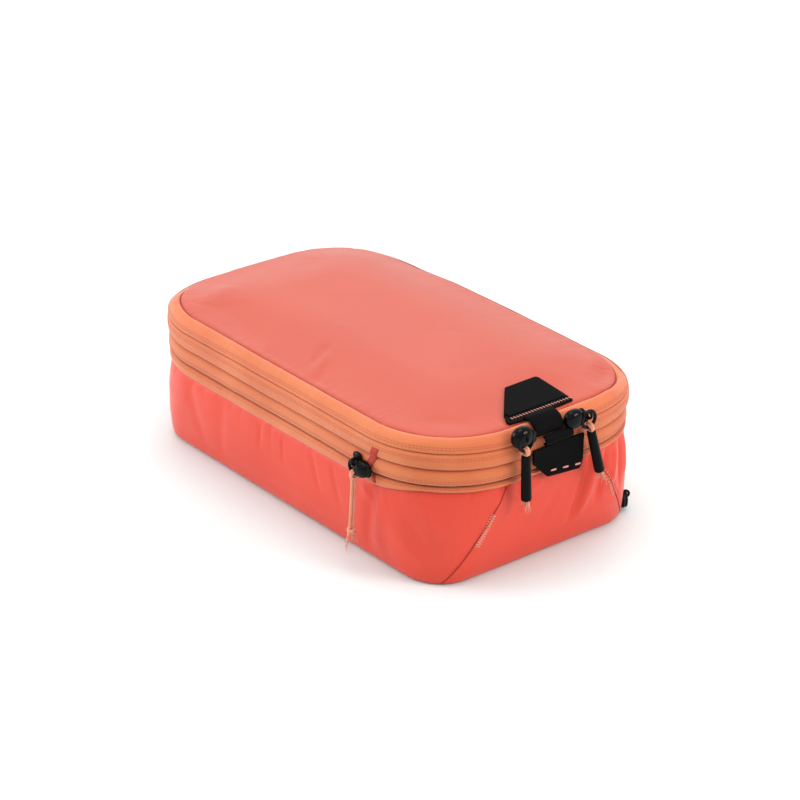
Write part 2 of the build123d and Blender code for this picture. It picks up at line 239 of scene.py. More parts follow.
# The lid panel is the coral cloth again, its shades given less red and more green and blue for their red: a
# painted sheen for the light that falls on the top.
panel = make_material("panel_coral_painted_sheen", (0.47, 0.058, 0.027), (0.53, 0.078, 0.038), 0.40, blotch=14,
                      pattern="plain", Sheen_Weight=0.08, Sheen_Roughness=0.3, Specular_IOR_Level=0.42)
lining = make_material("lining_nylon", (0.44, 0.036, 0.022), (0.52, 0.052, 0.032), 0.5, pattern="plain",
                       Sheen_Weight=0.15)
tape = make_material("orange_tape", (0.53, 0.090, 0.020), (0.70, 0.205, 0.064), 0.72, blotch=30, bump=0.5,
                     reach=0.3 * MM, pattern="twill", Sheen_Weight=0.25, Sheen_Roughness=0.5)
tooth = make_material("coil_plastic", (0.25, 0.030, 0.012), (0.34, 0.044, 0.018), 0.42)
# The seams' dark red cloth; on the lid's seam it also stands for the thin shadow there, a painted shadow.
seam = make_material("seam_cloth_and_painted_shade", (0.34, 0.022, 0.008), (0.44, 0.034, 0.014), 0.7, pattern="twill")
thread = make_material("peach_thread", (0.62, 0.20, 0.135), (0.72, 0.31, 0.225), 0.6, blotch=300,
                       Sheen_Weight=0.3)
stitch = make_material("orange_thread", (0.38, 0.042, 0.014), (0.48, 0.068, 0.024), 0.6, blotch=300,
                       Sheen_Weight=0.2)
cord_braid = make_material("cord_braid", (0.70, 0.22, 0.115), (0.82, 0.36, 0.225), 0.62, blotch=200, bump=0.6,
                           reach=0.25 * MM, pattern="braid", Sheen_Weight=0.25, Sheen_Roughness=0.4)
tab_rubber = make_material("tab_rubber", (0.0030, 0.0030, 0.0034), (0.0050, 0.0050, 0.0056), 0.55, blotch=60,
                           grain=2600, bump=0.4, reach=0.12 * MM, Specular_IOR_Level=0.02)
tube_rubber = make_material("tube_rubber", (0.0025, 0.0025, 0.0028), (0.0042, 0.0042, 0.0046), 0.38,
                            blotch=90, grain=1800, bump=0.2, reach=0.1 * MM, Specular_IOR_Level=0.06)
gloss = make_material("black_gloss", (0.0014, 0.0014, 0.0018), (0.0024, 0.0024, 0.0030), 0.12, blotch=120,
                      grain=700, bump=0.06, reach=0.1 * MM, Specular_IOR_Level=0.12)


# ======== Outlines round the bag ========
def ring_columns(count):
    """Where the columns of a grid stand round the bag: which of its eight runs, and how far along it."""
    side = 2 * (half_width - rim_radius)
    front = 2 * (half_length - rim_radius)
    arc = rim_radius * math.pi / 2
    ends = np.cumsum([side, arc, front, arc] * 2)
    ends = ends / ends[-1]
    starts = np.concatenate([[0], ends[:-1]])
    place = np.arange(count) / count
    run = np.searchsorted(ends, place, side="right")
    return run, (place - starts[run]) / (ends[run] - starts[run])


columns = ring_columns(column_count)


def outline(half_x, half_y, radius):
    """Points of a rounded rectangle and the directions out of it, from the tab end anticlockwise."""
    run, share = columns
    quarter = run // 2
    turn = quarter * math.pi / 2
    corner = run % 2 == 1
    angle = turn + np.where(corner, share * math.pi / 2, 0)
    normal = np.stack([np.cos(angle), np.sin(angle)], -1)
    out = np.stack([np.cos(turn), np.sin(turn)], -1)
    tangent = np.stack([-np.sin(turn), np.cos(turn)], -1)
    across = np.where(quarter % 2 == 0, half_x, half_y)[:, None]
    reach = np.where(quarter % 2 == 0, half_y - radius, half_x - radius)[:, None]
    straight = out * across + tangent * (2 * share[:, None] - 1) * reach
    arc = out * (across - radius) + tangent * reach + normal * radius
    return np.where(corner[:, None], arc, straight), normal


def rings(rows):
    """Points and outward directions of rows of (half length, half width, corner radius, height)."""
    points = np.zeros((len(rows), column_count, 3))
    normals = np.zeros((len(rows), column_count, 3))
    for index, (half_x, half_y, radius, z) in enumerate(rows):
        flat, normal = outline(half_x, half_y, radius)
        points[index, :, :2] = flat
        points[index, :, 2] = z
        normals[index, :, :2] = normal
    return points, normals


def rim_outline(inset):
    """Half length, half width and corner radius of the rim, drawn in by an inset."""
    return half_length - inset, half_width - inset, rim_radius - inset


def rim_rings(section):
    """The rings of a section of (inset from the rim, height), both in mm."""
    return rings([(*rim_outline(inset * MM), z * MM) for inset, z in section])


def wall_outline(share, bulge=0.0):
    """The tub's outline at a share of the way from its base to the seam under the zip."""
    pairs = ((base_half_length, half_length), (base_half_width, half_width), (base_radius, rim_radius))
    return [low + share * (high - seam_inset - low) + bulge for low, high in pairs]


def lengths(line):
    """How far along a line each of its points is."""
    return np.concatenate([[0], np.cumsum(np.linalg.norm(np.diff(line, axis=0), axis=1))])


def points_at(place, along, line):
    """The points of a line at some lengths along it."""
    return np.stack([np.interp(place, along, line[:, k]) for k in range(line.shape[1])], -1)


def unit(rows):
    """Rows of vectors, each with a length of 1."""
    return rows / np.linalg.norm(rows, axis=1)[:, None]


def rounded(points, count, softness):
    """A polyline of control points, divided evenly and then smoothed so that its corners are round."""
    points = np.array(points, float)
    along = lengths(points)
    line = points_at(np.linspace(0, along[-1], count), along, points)
    for _ in range(softness):
        line[1:-1] = (line[:-2] + 2 * line[1:-1] + line[2:]) / 4
    return line


def wobble(cells, seed):
    """Smooth random values from -1 to 1 round the bag."""
    knots = np.random.default_rng(seed).uniform(-1, 1, cells)
    place = np.arange(column_count) / column_count * cells
    index = np.floor(place).astype(int)
    share = smooth_step(place - index)
    return knots[index % cells] * (1 - share) + knots[(index + 1) % cells] * share


def ridges(cells, seed, sharpness=3):
    """Sharp irregular ridges round the bag, from 0 to 1, as a seam gathers them."""
    return (1 - np.abs(wobble(cells, seed))) ** sharpness


def smooth_step(value):
    """0 below 0, 1 above 1 and smooth between."""
    value = np.clip(value, 0, 1)
    return value * value * (3 - 2 * value)


def crease(points, normals, start, end, width, height):
    """How far a fold along a line lifts each point of a surface; it fades at both ends."""
    thin_end, depth_limit = 0.08, 20 * MM
    start, end = (np.array(place) * MM for place in (start, end))
    run = end - start
    along = ((points - start) @ run) / (run @ run)
    inside = np.clip(along, 0, 1)
    offset = points - (start + inside[..., None] * run)
    away = np.sum(offset * normals, axis=-1)
    gap = np.linalg.norm(offset - away[..., None] * normals, axis=-1)
    fade = np.sqrt(np.clip(4 * inside * (1 - inside), thin_end, 1)) * (np.abs(away) < depth_limit)
    return height * MM * fade * np.exp(-((gap / (width * MM)) ** 2))


# ======== Shapes ========
def assign(piece, body, slot, *nodes):
    """Says which body a piece moves with and hides the nodes it stands for; slot is not used."""
    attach(piece, body)
    if nodes:
        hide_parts(*nodes)


def weld(piece, gap=0.01 * MM):
    """Merges points of a piece that share a place, such as those at the tip of a pebble."""
    piece.modifiers.new("weld", "WELD").merge_threshold = gap


def quads(count, sides, looped=False, closed=True):
    """Faces between neighbours in a row of rings of points.

    looped joins the last ring to the first, and closed joins each ring's last point to its first."""
    last_ring, last_side = count if looped else count - 1, sides if closed else sides - 1
    row, col = (index.ravel() for index in np.mgrid[0:last_ring, 0:last_side])
    start, ahead, right = row * sides, (row + 1) % count * sides, (col + 1) % sides
    return np.stack([start + col, start + right, ahead + right, ahead + col], -1)


def add_piece(name, vertices, faces, material, uvs=None):
    """A new smooth mesh object. uvs holds one pair for each corner of each face."""
    mesh = bpy.data.meshes.new(name)
    mesh.from_pydata([tuple(v) for v in vertices], [], [tuple(f) for f in faces])
    if uvs is not None:
        layer = mesh.uv_layers.new(name="cloth")
        layer.data.foreach_set("uv", np.asarray(uvs, np.float32).ravel())
    mesh.materials.append(material)
    mesh.shade_smooth()
    piece = bpy.data.objects.new(name, mesh)
    bpy.context.scene.collection.objects.link(piece)
    return piece


def grid_piece(name, points, material, thickness, closed=True, shut=False):
    """A cloth surface from points[row, column], with its lengths in metres as its UVs.

    shut welds the points that meet where the innermost ring has been pressed flat."""
    rows, cols = points.shape[:2]
    middle = points[rows // 2]
    along = lengths(np.vstack([middle, middle[:1]]))
    across = lengths(points[:, 0])
    faces = quads(rows, cols, closed=closed)
    row, col = np.divmod(faces[:, 0], cols)
    u = np.stack([along[col], along[col + 1], along[col + 1], along[col]], -1)
    v = np.stack([across[row], across[row], across[row + 1], across[row + 1]], -1)
    piece = add_piece(name, points.reshape(-1, 3), faces, material, np.stack([u, v], -1))
    if shut:
        weld(piece)
    skin = piece.modifiers.new("thickness", "SOLIDIFY")
    skin.thickness = thickness
    skin.offset = -1
    return piece


def beads(name, centres, directions, length, radius, material):
    """Many short round-ended rods in one mesh, such as stitches or zip teeth."""
    sides = 6
    profile = [(-0.5, 0.0), (-0.44, 0.62), (-0.28, 1.0), (0.28, 1.0), (0.44, 0.62), (0.5, 0.0)]
    centres = np.asarray(centres, float)
    directions = unit(np.asarray(directions, float))
    steep = np.abs(directions[:, 2:3]) >= 0.9
    side = unit(np.cross(directions, np.where(steep, np.array([[1.0, 0, 0]]), np.array([[0, 0, 1.0]]))))
    other = np.cross(directions, side)
    parts = []
    for share, wide in profile:
        for turn in np.arange(sides) * 2 * math.pi / sides:
            offset = side * math.cos(turn) + other * math.sin(turn)
            parts.append(centres + directions * share * length + offset * wide * radius)
    vertices = np.stack(parts, 1).reshape(-1, 3)
    starts = np.arange(len(centres)) * len(profile) * sides
    faces = quads(len(profile), sides)[None] + starts[:, None, None]
    piece = add_piece(name, vertices, faces.reshape(-1, 4), material)
    weld(piece, 0.001 * MM)
    return piece


def even_points(line, pitch, closed=True):
    """Points evenly spaced on a line, and the line's direction at each."""
    line = np.vstack([line, line[:1]]) if closed else np.asarray(line)
    along = lengths(line)
    count = int(along[-1] / pitch)
    place = (np.arange(count) + 0.5) * along[-1] / count
    spots = points_at(place, along, line)
    return spots, points_at(place + pitch / 4, along, line) - spots + 1e-9


def stitch_row(name, line, body, closed=True):
    """A row of lockstitches along a line on the cloth."""
    spots, ways = even_points(line, stitch_pitch, closed)
    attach(beads(name, spots, ways, stitch_length, stitch_radius, stitch), body)


def blob(centre, axes, power):
    """Vertices and faces of a pebble with three half sizes as vectors. A power above 2 squares it off."""
    rings_count, sides = 20, 28

    def bend(value):
        return np.sign(value) * np.abs(value) ** (2 / power)

    lift = np.linspace(-math.pi / 2, math.pi / 2, rings_count)
    turn = np.arange(sides) * 2 * math.pi / sides
    lift, turn = np.meshgrid(lift, turn, indexing="ij")
    wide = bend(np.cos(lift))
    ball = np.stack([wide * bend(np.cos(turn)), wide * bend(np.sin(turn)), bend(np.sin(lift))], -1)
    vertices = np.array(centre) + ball.reshape(-1, 3) @ np.array([list(axis) for axis in axes])
    return vertices, quads(rings_count, sides)


def torus(centre, first, second, major, minor):
    """Vertices and faces of a ring in the plane of two unit vectors."""
    rings_count, sides = 48, 16
    first, second = np.array(first, float), np.array(second, float)
    normal = np.cross(first, second)
    vertices = []
    for turn in np.arange(rings_count) * 2 * math.pi / rings_count:
        out = first * math.cos(turn) + second * math.sin(turn)
        for round_it in np.arange(sides) * 2 * math.pi / sides:
            step = out * (major + minor * math.cos(round_it)) + normal * minor * math.sin(round_it)
            vertices.append(np.array(centre) + step)
    return np.array(vertices), quads(rings_count, sides, looped=True)[:, [0, 3, 2, 1]]


def tube_shape(line, radius, sides=5, helper=(0.123, 0.881, 0.456)):
    """Vertices and faces of a round tube along points, with closed ends.

    Its first side is square to the helper, a direction that no line here runs along."""
    way = unit(np.gradient(line, axis=0))
    side = unit(np.cross(way, np.array(helper)))
    other = np.cross(way, side)
    rows = []
    for turn in np.arange(sides) * 2 * math.pi / sides:
        rows.append(line + (side * math.cos(turn) + other * math.sin(turn)) * radius)
    last = (len(line) - 1) * sides
    faces = [*quads(len(line), sides)[:, [0, 3, 2, 1]], range(sides), range(last, last + sides)[::-1]]
    return np.stack(rows, 1).reshape(-1, 3), faces


def tube(name, line, radius, material):
    """A piece that is one round tube."""
    return add_piece(name, *tube_shape(np.asarray(line), radius, 8, (0.123, 0.456, 0.881)), material)


def joined(name, shapes, material):
    """One piece from several closed forms."""
    vertices, faces, start = [], [], 0
    for some_vertices, some_faces in shapes:
        vertices.extend(some_vertices)
        faces.extend(tuple(start + index for index in face) for face in some_faces)
        start += len(some_vertices)
    piece = add_piece(name, vertices, faces, material)
    weld(piece)
    return piece


def surface_tree(points):
    """A search tree of a closed grid, to lay thread and strips on it."""
    faces = quads(*points.shape[:2])
    return BVHTree.FromPolygons([tuple(p) for p in points.reshape(-1, 3)], faces.tolist())


def lay(tree, place, direction, proud):
    """The point where a line from outside meets a surface, lifted a little off it.

    A line that meets nothing gives a point a metre away, so that a hit on another surface comes first."""
    head_start, far_off = 0.1, np.array((1.0, 1.0, 0.0))
    way = Vector(direction).normalized()
    spot, normal, _, _ = tree.ray_cast(Vector(place) - way * head_start, way)
    if spot is None:
        return np.array(place) + far_off
    if normal.dot(way) > 0:
        normal = -normal
    return np.array(spot + normal * proud)


# ======== Tub: walls, bottom, divider, seams ========
# Wall profile from the ground up: share of the way from the base outline to the wall seam,
# how far it bulges out and its height in millimetres.
wall_profile = (
    (0.00, -7.0, 0.3),
    (0.00, -1.4, 0.02),
    (0.02, 0.6, 1.2),
    (0.10, 1.9, 6.0),
    (0.32, 3.0, 18.0),
    (0.62, 3.0, 34.0),
    (0.86, 1.8, 46.0),
    (0.97, 0.5, 52.0),
    (1.00, -0.9, 54.2),
    (1.00, -2.6, 54.6),
)
# Folds in the walls: where each starts and ends, its width and how far it stands out, in millimetres.
wall_folds = (
    ((-84, -84, 52), (-76, -82, 14), 5.0, -0.7),
    ((-50, -84, 52), (-60, -80, 12), 4.5, -0.7),
    ((-14, -84, 53), (-18, -84, 33), 1.8, -0.6),
    ((5, -84, 53), (5, -84, 34), 1.8, -0.6),
    ((31, -84, 53), (37, -84, 29), 2.2, -0.6),
    ((49, -84, 53), (55, -84, 27), 2.4, -0.7),
    ((76, -85, 52), (84, -84, 40), 3.0, 0.8),
    ((87, -85, 52), (76, -80, 10), 4.4, -1.5),
    ((93, -84, 50), (86, -78, 12), 4.4, 1.0),
    ((97, -82, 44), (104, -72, 16), 6.0, 0.8),
    ((136, 31, 56), (132, 17, 17), 2.2, -2.2),
    ((136, 36, 56), (132, 24, 20), 3.0, 1.9),
    ((136, 43, 57), (132, 36, 24), 2.2, -2.0),
    ((135, 52, 56), (131, 46, 30), 2.8, 1.7),
    ((132, 60, 56), (129, 56, 26), 2.2, -1.9),
    ((130, 68, 54), (127, 64, 28), 3.0, 1.2),
    ((134, 8, 42), (132, -6, 24), 3.4, -0.6),
    ((136, -36, 50), (135, -43, 42), 2.0, 0.7),
    ((136, -26, 42), (135, -6, 49), 2.6, 0.8),
    ((135, -30, 36), (134, -12, 42), 2.6, -0.8),
    ((116, -78, 50), (122, -68, 30), 3.6, 0.8),
    ((108, -80, 40), (120, -69, 18), 3.6, -0.9),
    ((104, -80, 26), (118, -70, 12), 3.2, 0.7),
    ((-128, -58, 52), (-120, -66, 14), 6.0, -1.0),
    ((-100, 82, 52), (-92, 80, 20), 6.0, -1.1),
    ((-20, 86, 53), (-30, 84, 18), 5.0, -0.9),
    ((60, 86, 53), (66, 84, 22), 5.0, 0.8),
    ((-136, 20, 54), (-134, 8, 20), 6.0, -1.1),
    ((-136, -24, 54), (-134, -16, 18), 6.0, 0.9),
)
# Puckers under the zip: how many go round the bag, a seed, and their reach and depth in mm.
wall_puckers = ((150, 4, 3.0, 0.50), (92, 5, 6.5, 0.85), (47, 6, 14.0, 0.80))
seam_foot = (124 * MM, 67 * MM, 0.0)
seam_head = (137 * MM, 30.2 * MM, 60 * MM)
sides_of_bag = (("front", -1), ("back", 1))


def make_walls():
    """The tub's wall in one soft shell that swells between the ground and the seam under the zip."""
    section = rounded(wall_profile, 70, 6)
    points, normals = rings([(*wall_outline(share, bulge * MM), z * MM) for share, bulge, z in section])
    height = points[:, :, 2]
    rise = height / wall_top
    free = np.clip(np.sin(np.clip(rise, 0, 1) * math.pi), 0, 1) ** 0.7
    push = 0.7 * MM * free * wobble(13, 1) * np.cos(rise * 2.2)
    push += 0.45 * MM * free * wobble(31, 2) * np.sin(rise * 4 + wobble(9, 3))
    depth = (wall_top - height) / MM
    for cells, seed, reach, size in wall_puckers:
        amount = np.clip(0.6 + 0.6 * wobble(17, seed + 20), 0.1, 1.2)
        push -= size * MM * amount * ridges(cells, seed) * np.exp(-np.clip(depth, 0, None) / reach)
    foot = np.exp(-height / (5 * MM))
    push -= 0.35 * MM * ridges(70, 7) * foot * (height > 1 * MM)
    for start, end, width, size in wall_folds:
        push += crease(points, normals, start, end, width, size) * np.clip(free * 2, 0, 1)
    for side in (-1, 1):
        for end in (-1, 1):
            ends = [(end * x / MM, side * y / MM, z / MM) for x, y, z in (seam_foot, seam_head)]
            push += crease(points, normals, *ends, 1.3, -0.6)
            push += crease(points, normals, *ends, 6, 0.5)
    walls = points + normals * push[:, :, None]
    walls[:, :, 2] += wall_sag * MM * np.clip(rise, 0, 1) ** 4
    piece = grid_piece("tub_walls", walls, coral, cloth_thickness)
    assign(piece, "tub", "coral_fabric", "front_wall", "back_wall", "tab_end_wall", "far_end_wall")
    return walls


def shrinking_rows(half_x, half_y, radius, z, insets, least_round):
    """Ring rows that shrink to the middle. A ring's corner radius is at least a share of its half width."""
    return [(half_x - i, half_y - i, max(radius - i, (half_y - i) * least_round), z) for i in insets]


def press_flat(ring):
    """Presses a ring of points to a line along X on which the two sides share their points."""
    spacing = 1.2 * MM
    ring[:, 0] = np.round(ring[:, 0] / spacing) * spacing
    ring[:, 1] = 0


def make_flat_panel(name, node, half_x, half_y, radius, z, sag, material, slot, faces_up):
    """A flat sewn panel of rings that shrink to its middle, with a soft sag and small wrinkles."""
    insets = half_y * 0.985 * np.linspace(0, 1, 34) ** 1.15
    rows = shrinking_rows(half_x, half_y, radius, z, insets, 0.4)
    if not faces_up:
        rows.reverse()
    points, _ = rings(rows)
    press_flat(points[-1 if faces_up else 0])
    x, y = points[:, :, 0], points[:, :, 1]
    edge = np.clip(1 - np.maximum(np.abs(x) / half_x, np.abs(y) / half_y), 0, 1)
    wrinkles = np.sin(x * 90 + np.sin(y * 70)) * np.sin(y * 80 + 1) * np.clip(edge * 5, 0, 1)
    points[:, :, 2] += sag * (1 - np.exp(-edge * 6)) + 0.25 * MM * wrinkles
    assign(grid_piece(name, points, material, cloth_thickness, shut=True), "tub", slot, node)


def make_corner_seams(tree):
    """A narrow rolled seam down each end of the tub, and the zigzag tacks beside the two at the tab end."""
    seam_radius = 0.34 * MM
    for end_name, end in (("tab_end", 1), ("far_end", -1)):
        for side_name, side in sides_of_bag:
            line = []
            for share in np.linspace(0.03, 0.93, 60):
                y = side * (seam_foot[1] + share * (seam_head[1] - seam_foot[1]))
                line.append(lay(tree, (end * half_length, y, share * seam_head[2]), (-end, 0, 0), 0.15 * MM))
            # A line that passes over a sunk wall meets the wall at the other end; its point is left out.
            line = [spot for spot in line if spot[0] * end > 0]
            name = f"corner_seam_{end_name}_{side_name}"
            assign(tube(f"rolled_{name}", line, seam_radius, seam), "tub", "seam_fabric", name)
    tack_foot, tack_head = np.array((50.3, 23.4)) * MM, np.array((41.2, 41.8)) * MM
    half_tack = 1.75 * MM
    run = tack_head - tack_foot
    across = np.array((-run[1], run[0])) / np.linalg.norm(run) * half_tack
    for (side_name, side), count, radius in zip(sides_of_bag, (26, 18), (0.24 * MM, 0.19 * MM)):
        corners = []
        for index in range(count + 1):
            spot = tack_foot + run * index / count + across * (1 if index % 2 else -1)
            corners.append(lay(tree, (half_length, side * spot[0], spot[1]), (-1, 0, 0), 0.3 * MM))
        corners = np.array(corners)
        ways = np.diff(corners, axis=0)
        spots = (corners[:-1] + corners[1:]) / 2
        length = 1.05 * np.mean(np.linalg.norm(ways, axis=1))
        piece = beads(f"zigzag_tack_{side_name}", spots, ways, length, radius, thread)
        assign(piece, "tub", "thread", f"bar_tack_{side_name}")


# ======== Bands of zip tape ========
# Round the rim, in mm: how far the lid's seam sinks at the back and the far end, where the contents stop
# short, and how far the zip below it is drawn down with it.
rim_x, rim_y = (outline(half_length, half_width, rim_radius)[0] / MM).T
held_by_tabs = smooth_step((rim_x - 70) / 45) * (1 - smooth_step((rim_y - 38) / 40))
back_share = smooth_step((rim_y + 5) / 70) * (1 - held_by_tabs)
far_share = smooth_step((-rim_x - 85) / 45) * smooth_step((rim_y + 82) / 40)
back_corner = np.exp(-((rim_x + 84) / 30) ** 2) * smooth_step((rim_y - 20) / 50)
seam_sink = 3.9 * (1 - (1 - back_share) * (1 - 0.68 * far_share)) + 3.0 * back_corner
zip_sink = 0.5 * (seam_sink - 2.6 + np.sqrt((seam_sink - 2.6) ** 2 + 0.4))
sunk_back = smooth_step((rim_y - 66) / 18)
sunk_far = smooth_step((-rim_x - 100) / 30) * smooth_step((rim_y + 80) / 26)
sunk_share = 1 - (1 - sunk_back) * (1 - sunk_far)
# At the tab end the tub's wall reaches higher, so the lowest tape is narrow there.
wall_lift = 4.3 * smooth_step((rim_x - 90) / 30)

# How far each edge of the tapes wanders from level, in mm.
wall_sag = 0.45 * wobble(14, 38) + 0.2 * ridges(90, 39) + wall_lift - 0.3 * zip_sink
expansion_sag = 0.5 * wobble(11, 30) + 0.18 * wobble(37, 31) - 0.4 * zip_sink
fold_sag = 0.45 * wobble(13, 32) + 0.15 * wobble(41, 33) - 0.6 * zip_sink
main_sag = (0.35 * wobble(12, 34) + 0.12 * wobble(43, 35)) * (1 - smooth_step((rim_x - 55) / 25))
main_sag -= 0.9 * zip_sink
panel_sag = 0.3 * wobble(10, 36) + 0.16 * ridges(120, 37) - seam_sink


def band_rings(profile, low_sag, high_sag):
    """A band's points, their outward directions and how far up the band each row is, from 0 to 1."""
    section = rounded(profile, 26, 3)
    points, normals = rim_rings(section)
    share = ((section[:, 1] - section[0, 1]) / (section[-1, 1] - section[0, 1]))[:, None]
    points[:, :, 2] += (low_sag * (1 - share) + high_sag * share) * MM
    return points, normals, share


def make_band(name, profile, low_sag, high_sag, node, body, seed, sunk_profile=None):
    """A strip of tape that bulges a little. Its two edges follow the lines they are sewn to.

    Where the lid's seam sinks, the section turns into sunk_profile."""
    crease_depth = 0.16
    points, normals, share = band_rings(profile, low_sag, high_sag)
    if sunk_profile:
        sunk, _, _ = band_rings(sunk_profile, low_sag, high_sag)
        points += (sunk - points) * sunk_share[None, :, None]
    swell = np.sin(np.clip(share, 0, 1) * math.pi)
    push = 0.35 * wobble(29, seed) + 0.22 * wobble(61, seed + 1)
    push = push * swell - crease_depth * ridges(170, seed + 2, 4) * (1 - 0.5 * swell)
    band = points + normals * (push * MM)[:, :, None]
    assign(grid_piece(name, band, tape, tape_thickness), body, "zip_tape", node)
    return band


def make_bands():
    """The four tapes and the stitch rows beside their slits. Each profile holds (inset, height) in mm."""
    slit, fine_slit = 0.36, 0.08
    lower_z, low, fold, top = expansion_zip_z / MM, wall_top / MM, fold_z / MM, panel_seam_z / MM
    under_zip, over_zip = main_zip_z / MM - fine_slit, main_zip_z / MM + fine_slit
    lower_tape = make_band(
        "expansion_lower_band",
        ((4.4, low - 1.2), (2.4, low - 0.4), (1.5, low + 0.5), (1.0, low + 2.4), (1.1, lower_z - 1.6),
         (1.9, lower_z - slit - 0.2), (3.8, lower_z - slit)),
        wall_sag, expansion_sag, "expansion_lower_tape", "tub", 50)
    upper_tape = make_band(
        "expansion_upper_band",
        ((3.8, lower_z + slit), (1.9, lower_z + slit + 0.2), (0.8, lower_z + 1.9), (0.5, lower_z + 5.2),
         (1.0, fold - 1.8), (2.6, fold - 0.3), (4.6, fold)),
        expansion_sag, fold_sag, "expansion_upper_tape", "zip_frame", 54)
    main_low = make_band(
        "main_lower_band",
        ((4.6, fold + 0.5), (2.4, fold + 0.1), (0.6, fold + 0.8), (-0.2, fold + 3.4), (0.1, fold + 7.0),
         (0.35, under_zip - 0.4), (1.0, under_zip - 0.02), (3.4, under_zip)),
        fold_sag, main_sag, "main_lower_tape", "zip_frame", 58)
    main_high = make_band(
        "main_upper_band",
        ((3.4, over_zip), (1.0, over_zip + 0.02), (0.45, over_zip + 0.4), (1.0, main_zip_z / MM + 3.6),
         (2.4, top - 1.6), (4.6, top + 0.2), (6.6, top + 0.5), (7.7, top - 0.4), (8.0, top - 1.6)),
        main_sag, panel_sag, "main_upper_tape", "lid", 62,
        sunk_profile=(
            (3.4, over_zip), (1.0, over_zip + 0.02), (0.5, over_zip + 0.4), (1.6, main_zip_z / MM + 1.6),
            (4.4, top - 3.7), (7.4, top - 1.4), (8.0, top - 1.9)))
    for name, band, row, body in (
        ("expansion_stitch_low", lower_tape, 17, "tub"),
        ("expansion_stitch_high", upper_tape, 8, "zip_frame"),
        ("expansion_stitch_higher", upper_tape, 10, "zip_frame"),
        ("fold_stitch", main_low, 6, "zip_frame"),
        ("main_stitch_low", main_low, 17, "zip_frame"),
        ("main_stitch_lower", main_low, 15, "zip_frame"),
        ("main_stitch_high", main_high, 8, "lid"),
        ("main_stitch_higher", main_high, 10, "lid"),
    ):
        stitch_row(name, band[row], body)
    return lower_tape, upper_tape, main_low


def make_teeth(name, z, sag, node, body, gap_half=0.0):
    """One side of a zip's coil: a row of teeth, with none within gap_half of the far end's middle."""
    coil_inset, tooth_length, tooth_radius = 2.9 * MM, 2.4 * MM, 0.45 * MM
    flat, _ = outline(*rim_outline(coil_inset))
    spots, ways = even_points(np.column_stack([flat, z + sag * MM]), tooth_pitch)
    across = np.cross(ways, (0, 0, 1.0))
    keep = ~((np.abs(spots[:, 1]) < gap_half) & (spots[:, 0] < 0))
    piece = beads(name, spots[keep], across[keep], tooth_length, tooth_radius, tooth)
    assign(piece, body, "zip_coil", node)


# ======== Lid panel ========
# Folds in the panel, as in wall_folds, and the gathers along its seam, as in wall_puckers.
panel_folds = (
    ((-3, -46, 91), (9, -66, 90), 3.2, -1.0),
    ((2, -50, 91), (20, -76, 89), 5.0, 0.7),
    ((12, -60, 91), (30, -80, 89), 3.0, -0.7),
    ((-94, -66, 90), (-104, -36, 90), 9.0, 1.3),
    ((-88, -52, 91), (-30, -74, 90), 10.0, -1.0),
    ((-30, -76, 90), (48, -80, 89), 8.0, -0.5),
    ((92, 72, 90), (112, 48, 91), 5.0, 0.7),
    ((104, 66, 90), (121, 52, 90), 4.0, -0.7),
    ((62, 70, 90), (80, 52, 92), 6.0, 0.5),
    ((100, -60, 90), (118, -44, 90), 5.0, -0.5),
    ((-60, 70, 90), (-40, 52, 92), 6.0, -0.6),
    ((-110, 30, 91), (-92, 10, 92), 7.0, -0.6),
    ((30, 20, 93), (70, -10, 93), 12.0, 0.5),
    ((-50, 10, 93), (-10, -20, 93), 14.0, -0.4),
)
panel_gathers = ((230, 70, 2.0, 0.12), (110, 71, 4.5, 0.12), (44, 72, 12.0, 0.25))


def make_top_panel():
    """The lid's puffed panel, gathered along its seam, and the dark seam round it, whose dark red also paints
    the thin shadow along the seam.
    """
    seam_x, seam_y, radius = rim_outline(panel_inset)
    insets = np.concatenate([[0, 0.25, 0.55], 0.9 + (seam_y / MM - 2.2) * np.linspace(0, 1, 52) ** 1.35]) * MM
    points, _ = rings(shrinking_rows(seam_x, seam_y, radius, panel_seam_z, insets, 0.45))
    press_flat(points[-1])
    away = insets[:, None] / MM
    dome = (panel_top_z - panel_seam_z) * smooth_step(away / 56)
    lip = 0.7 * MM * (1 - np.exp(-away / 1.3)) - 1.2 * MM * np.exp(-away / 0.35)
    gather = np.zeros_like(points[:, :, 2])
    for cells, seed, reach, size in panel_gathers:
        gather -= size * MM * ridges(cells, seed) * np.exp(-away / reach) * (1 - np.exp(-away / 0.7))
    x, y = points[:, :, 0], points[:, :, 1]
    free = np.clip(away / 12, 0, 1)
    soft = np.sin(x * 38 + 1.3 * np.sin(y * 31)) * np.sin(y * 44 + x * 9) * 0.3 * MM * free
    points[:, :, 2] += dome + lip + gather + soft + panel_sag * MM * np.exp(-(away / 18) ** 1.5)
    upward = np.zeros_like(points) + np.array((0, 0, 1.0))
    lift = sum(crease(points, upward, *fold) for fold in panel_folds)
    points[:, :, 2] += lift * np.clip(away / 5, 0, 1)
    # The panel's material holds a painted sheen.
    piece = grid_piece("lid_panel", points, panel, cloth_thickness, shut=True)
    assign(piece, "lid", "panel_fabric", "top_panel")
    flat, _ = outline(*rim_outline(panel_inset - 0.15 * MM))
    line = np.column_stack([flat, panel_seam_z + (panel_sag - 0.55 - 0.8 * sunk_share) * MM])
    # The dark tube is the seam and also a painted shadow line along it.
    binding = tube("lid_seam_and_painted_shadow", np.vstack([line, line[:1]]), 0.45 * MM, seam)
    assign(binding, "lid", "seam_fabric", "panel_seam")


# ======== Sliders, rings and corded pulls ========
ring_radius = 3.6 * MM
shown_ring_radius = 4.8 * MM
ring_wire = 1.0 * MM
cord_radius = 0.85 * MM
up = Vector((0, 0, 1))
east, north, south = Vector((1, 0, 0)), Vector((0, 1, 0)), Vector((0, -1, 0))


